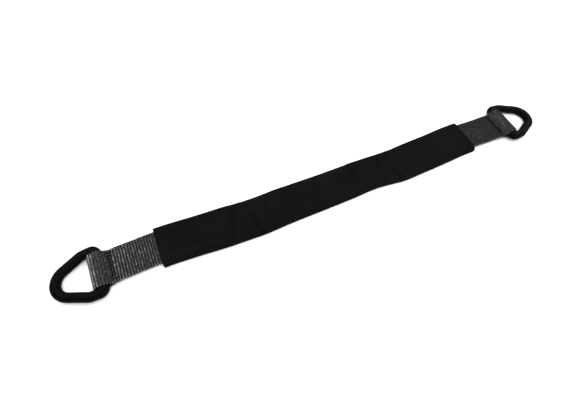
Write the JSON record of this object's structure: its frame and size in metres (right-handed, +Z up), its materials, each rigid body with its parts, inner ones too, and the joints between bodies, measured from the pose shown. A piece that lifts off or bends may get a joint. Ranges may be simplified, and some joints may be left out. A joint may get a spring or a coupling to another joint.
{
  "type": "ring-ended web strap",
  "caption": "Flat doubled web strap with a forged delta ring sewn into each end and a tubular wear sleeve that slides along its middle.",
  "frame": {"origin": "on the floor the strap lies on, midway between the two ring bars", "axes": "+X along the strap towards the right ring, +Y across it away from the viewer, +Z up"},
  "size_m": [0.8215, 0.0776, 0.0188],
  "materials": {
    "ring_coat": "satin black powder coat",
    "webbing": "charcoal polyester webbing, cross-ribbed",
    "sleeve_cloth": "matte black woven nylon",
    "black_thread": "black bonded thread",
    "grey_thread": "grey bonded thread"
  },
  "bodies": {
    "strap": {"web_main": "webbing", "left_tail": "webbing", "right_tail": "webbing", "left_bar_stitch_top": "black_thread", "left_bar_stitch_bottom": "black_thread", "left_long_stitch_top": "grey_thread", "left_long_stitch_bottom": "grey_thread", "right_bar_stitch_top": "black_thread", "right_bar_stitch_bottom": "black_thread", "right_long_stitch_top": "grey_thread", "right_long_stitch_bottom": "grey_thread"},
    "sleeve": {"sleeve": "sleeve_cloth"},
    "left_loop": {"left_loop": "webbing"},
    "left_ring": {"left_ring": "ring_coat"},
    "right_loop": {"right_loop": "webbing"},
    "right_ring": {"right_ring": "ring_coat"}
  },
  "joints": [
    {"name": "sleeve_slide", "type": "slide", "parent": "strap", "child": "sleeve", "axis": [1, 0, 0], "range_m": [-0.045, 0.045]},
    {"name": "left_loop_flex", "type": "hinge", "parent": "strap", "child": "left_loop", "pos_m": [-0.331, 0.00034, 0.00515], "axis": [-0.0262, 0.9997, 0], "range_deg": [-40, 40]},
    {"name": "left_ring_swing", "type": "hinge", "parent": "left_loop", "child": "left_ring", "pos_m": [-0.344, 0, 0.0094], "axis": [-0.0262, 0.9997, 0], "range_deg": [-120, 120]},
    {"name": "right_loop_flex", "type": "hinge", "parent": "strap", "child": "right_loop", "pos_m": [0.331, 0, 0.00515], "axis": [0, -1, 0], "range_deg": [-40, 40]},
    {"name": "right_ring_swing", "type": "hinge", "parent": "right_loop", "child": "right_ring", "pos_m": [0.344, 0, 0.0094], "axis": [0, -1, 0], "range_deg": [-120, 120]}
  ]
}
